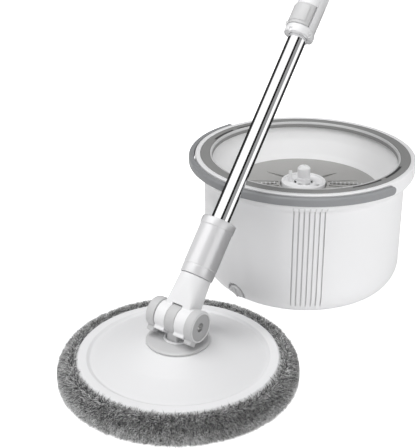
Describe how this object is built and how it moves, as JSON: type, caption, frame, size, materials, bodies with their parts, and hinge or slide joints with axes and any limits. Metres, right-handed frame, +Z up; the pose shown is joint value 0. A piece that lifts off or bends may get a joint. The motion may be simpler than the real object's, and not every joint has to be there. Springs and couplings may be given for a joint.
{
  "type": "spin mop",
  "caption": "Round flat spin mop with a hinged head, fur pad and telescopic handle, standing by its bucket with wringing tub, spinning hub and bail.",
  "frame": {"origin": "centre of the flat underside of the bucket, on the floor", "axes": "+Z up; the mop stands towards -X and -Y of the bucket and its handle leans back over the rim"},
  "size_m": [0.5316, 0.659, 0.8378],
  "materials": {
    "white_gloss": "gloss moulded",
    "white_satin": "satin moulded",
    "grey_ring": "fine satin",
    "grey_bail": "satin",
    "grey_plate": "satin, ribbed",
    "silver_grey": "silver pigmented, semi-gloss",
    "light_grey": "satin",
    "fur": "microfibre fur pile, mixed grey",
    "hook": "hook tape",
    "chrome": "polished",
    "steel": "zinc plated",
    "black_plastic": "matt"
  },
  "bodies": {
    "bucket": {"outer_bucket": "white_gloss", "rim_ring": "grey_ring", "inner_tub": "white_satin", "scrub_plate": "grey_plate", "hub_axle": "steel", "drain_seat": "white_satin"},
    "bail": {"bail_handle": "grey_bail", "bail_pin_left": "steel", "bail_pin_right": "steel"},
    "hub": {"hub_disc": "white_gloss", "spindle": "white_gloss", "drive_fin": "white_gloss", "hub_bearing": "steel", "hub_screw_1": "steel", "hub_screw_2": "steel"},
    "drain": {"drain_plug": "light_grey"},
    "yoke": {"swivel_boss": "light_grey", "boss_trim_ring": "white_gloss", "boss_retainer": "light_grey", "retainer_screw_1": "steel", "retainer_screw_2": "steel", "retainer_screw_3": "steel", "hinge_pin": "steel"},
    "head": {"mop_pad": "fur", "hook_disc": "hook", "head_base": "white_satin", "head_cover": "white_gloss", "spindle_socket": "light_grey", "socket_cap": "light_grey", "head_screw_1": "steel", "head_screw_2": "steel", "head_screw_3": "steel"},
    "handle": {"fork": "white_gloss", "hinge_cap_left": "light_grey", "hinge_cap_right": "light_grey", "cap_screw_left": "steel", "cap_screw_right": "steel", "sleeve": "silver_grey", "lower_tube": "chrome", "fixing_pin": "steel", "clutch_housing": "black_plastic", "nut_keeper": "steel"},
    "nut": {"drive_nut": "light_grey"},
    "grip": {"clamp_housing": "white_gloss", "grip_tube": "white_gloss", "drive_rod": "steel", "rod_stop": "black_plastic", "rod_anchor": "black_plastic", "end_cap": "silver_grey", "lever_pin": "steel"},
    "lever": {"lock_lever": "silver_grey"}
  },
  "joints": [
    {"name": "bail_swing", "type": "hinge", "parent": "bucket", "child": "bail", "pos_m": [0, 0, 0.1675], "axis": [-0.6428, 0.766, 0], "range_deg": [0, 100]},
    {"name": "hub_spin", "type": "hinge", "parent": "bucket", "child": "hub", "pos_m": [0, 0, 0.13], "axis": [0, 0, 1], "continuous": true},
    {"name": "drain_turn", "type": "hinge", "parent": "bucket", "child": "drain", "pos_m": [-0.08826, -0.08826, 0.01804], "axis": [-0.6243, -0.6243, -0.4695], "range_deg": [0, 90]},
    {"name": "mop_glide", "type": "slide", "parent": "bucket", "child": "yoke", "axis": [-0.5361, -0.8442, 0], "range_m": [0, 0.25]},
    {"name": "head_spin", "type": "hinge", "parent": "yoke", "child": "head", "pos_m": [-0.1575, -0.248, 0.02], "axis": [0, 0, 1], "continuous": true},
    {"name": "handle_tilt", "type": "hinge", "parent": "yoke", "child": "handle", "pos_m": [-0.1575, -0.248, 0.0718], "axis": [0.7986, -0.6018, 0], "range_deg": [0, 130]},
    {"name": "grip_slide", "type": "slide", "parent": "handle", "child": "grip", "axis": [0.3892, 0.5165, 0.7627], "range_m": [0, 0.25]},
    {"name": "nut_spin", "type": "hinge", "parent": "handle", "child": "nut", "pos_m": [0.117, 0.11627, 0.60963], "axis": [0.3892, 0.5165, 0.7627], "range_deg": [-905, 5]},
    {"name": "lever_flip", "type": "hinge", "parent": "grip", "child": "lever", "pos_m": [-0.00755, -0.06671, 0.36483], "axis": [0.3892, 0.5165, 0.7627], "range_deg": [0, 100]}
  ],
  "couplings": [
    {"joint": "nut_spin", "follows": "grip_slide", "rad_per_m": -62.832}
  ]
}
